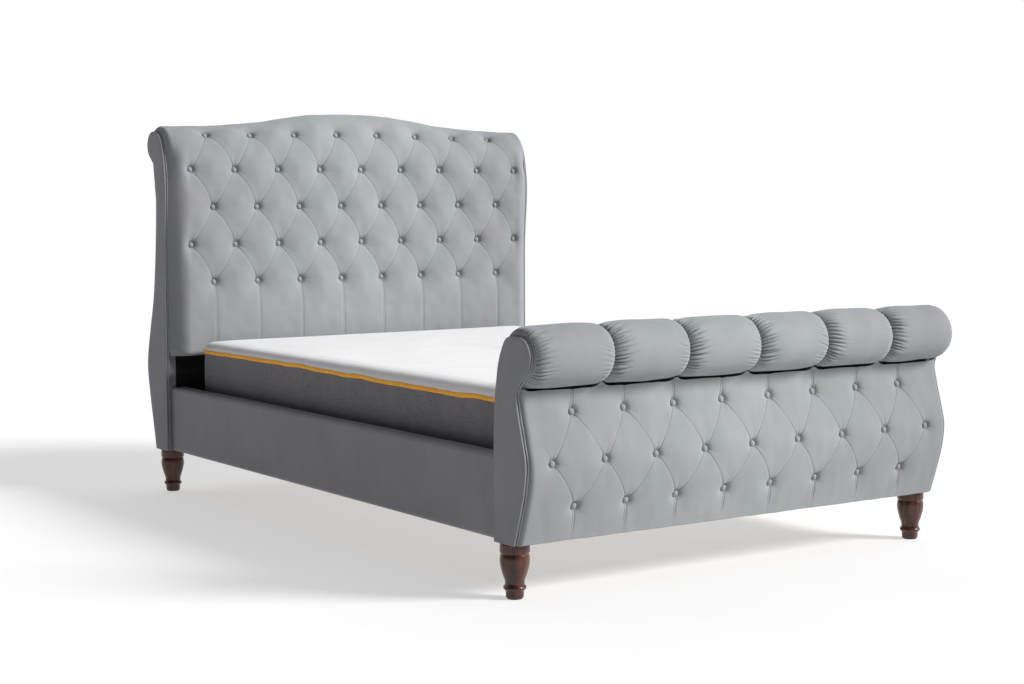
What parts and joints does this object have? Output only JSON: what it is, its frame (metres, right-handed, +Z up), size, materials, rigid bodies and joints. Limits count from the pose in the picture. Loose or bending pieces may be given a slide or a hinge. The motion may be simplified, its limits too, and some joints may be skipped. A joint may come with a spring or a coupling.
{
  "type": "sleigh bed",
  "caption": "Upholstered double sleigh bed with buttoned camel-back headboard, scrolled footboard with a gathered roll, turned legs, sprung slats and a mattress.",
  "frame": {"origin": "centre of the bed's footprint at floor level, under the middle of the box round the whole bed", "axes": "+X across the bed to the right when seen from the foot, +Y from the footboard to the headboard, +Z up"},
  "size_m": [1.554, 2.4288, 1.352],
  "materials": {
    "velvet": "matte",
    "turned_wood": "gloss",
    "pine": "matte",
    "plywood": "matte",
    "foam": "matte",
    "black_lining": "matte",
    "zinc_steel": "satin",
    "black_plastic": "matte",
    "felt": "matte",
    "mattress_knit": "matte",
    "mattress_border": "matte",
    "mattress_piping": "satin"
  },
  "bodies": {
    "bed_frame": {"centre_legs": "pine", "centre_rail": "pine", "centre_rail_hangers": "zinc_steel", "footboard_buttons": "velvet", "footboard_cheek_boards": "plywood", "footboard_cheek_cover_left": "velvet", "footboard_cheek_cover_right": "velvet", "footboard_cross_rails": "pine", "footboard_front_board": "plywood", "footboard_front_pad": "velvet", "footboard_inner_board": "plywood", "footboard_inner_pad": "velvet", "footboard_piping_left": "velvet", "footboard_piping_right": "velvet", "footboard_posts": "pine", "footboard_roll_core": "foam", "headboard_back_panel": "velvet", "headboard_buttons": "velvet", "headboard_cheek_boards": "plywood", "headboard_cheek_cover_left": "velvet", "headboard_cheek_cover_right": "velvet", "headboard_crest_board": "plywood", "headboard_crest_pad": "velvet", "headboard_cross_rails": "pine", "headboard_front_board": "plywood", "headboard_front_pad": "velvet", "headboard_lining": "black_lining", "headboard_piping_left": "velvet", "headboard_piping_right": "velvet", "headboard_posts": "pine", "leg_corner_blocks": "pine", "leg_felt_pads": "felt", "leg_foot_left": "turned_wood", "leg_foot_right": "turned_wood", "leg_hanger_bolts": "zinc_steel", "leg_head_left": "turned_wood", "leg_head_right": "turned_wood", "rail_bolts": "zinc_steel", "rail_corner_brackets": "zinc_steel", "roll_cushion_1": "velvet", "roll_cushion_2": "velvet", "roll_cushion_3": "velvet", "roll_cushion_4": "velvet", "roll_cushion_5": "velvet", "roll_cushion_6": "velvet", "side_rail_board_left": "pine", "side_rail_board_right": "pine", "side_rail_cover_left": "velvet", "side_rail_cover_right": "velvet", "slat_holders_centre": "black_plastic", "slat_holders_side": "black_plastic", "slat_ledges": "pine", "slats": "plywood"},
    "mattress": {"mattress_base_panel": "mattress_border", "mattress_border": "mattress_border", "mattress_core": "foam", "mattress_piping": "mattress_piping", "mattress_top_panel": "mattress_knit"},
    "levelling_foot_front": {"levelling_foot_front": "black_plastic"},
    "levelling_foot_rear": {"levelling_foot_rear": "black_plastic"}
  },
  "joints": [
    {"name": "mattress_lift", "type": "slide", "parent": "bed_frame", "child": "mattress", "axis": [0, 0, 1], "range_m": [0, 1.15]},
    {"name": "front_foot_screw", "type": "slide", "parent": "bed_frame", "child": "levelling_foot_front", "axis": [0, 0, 1], "range_m": [0, 0.012]},
    {"name": "rear_foot_screw", "type": "slide", "parent": "bed_frame", "child": "levelling_foot_rear", "axis": [0, 0, 1], "range_m": [0, 0.012]}
  ]
}
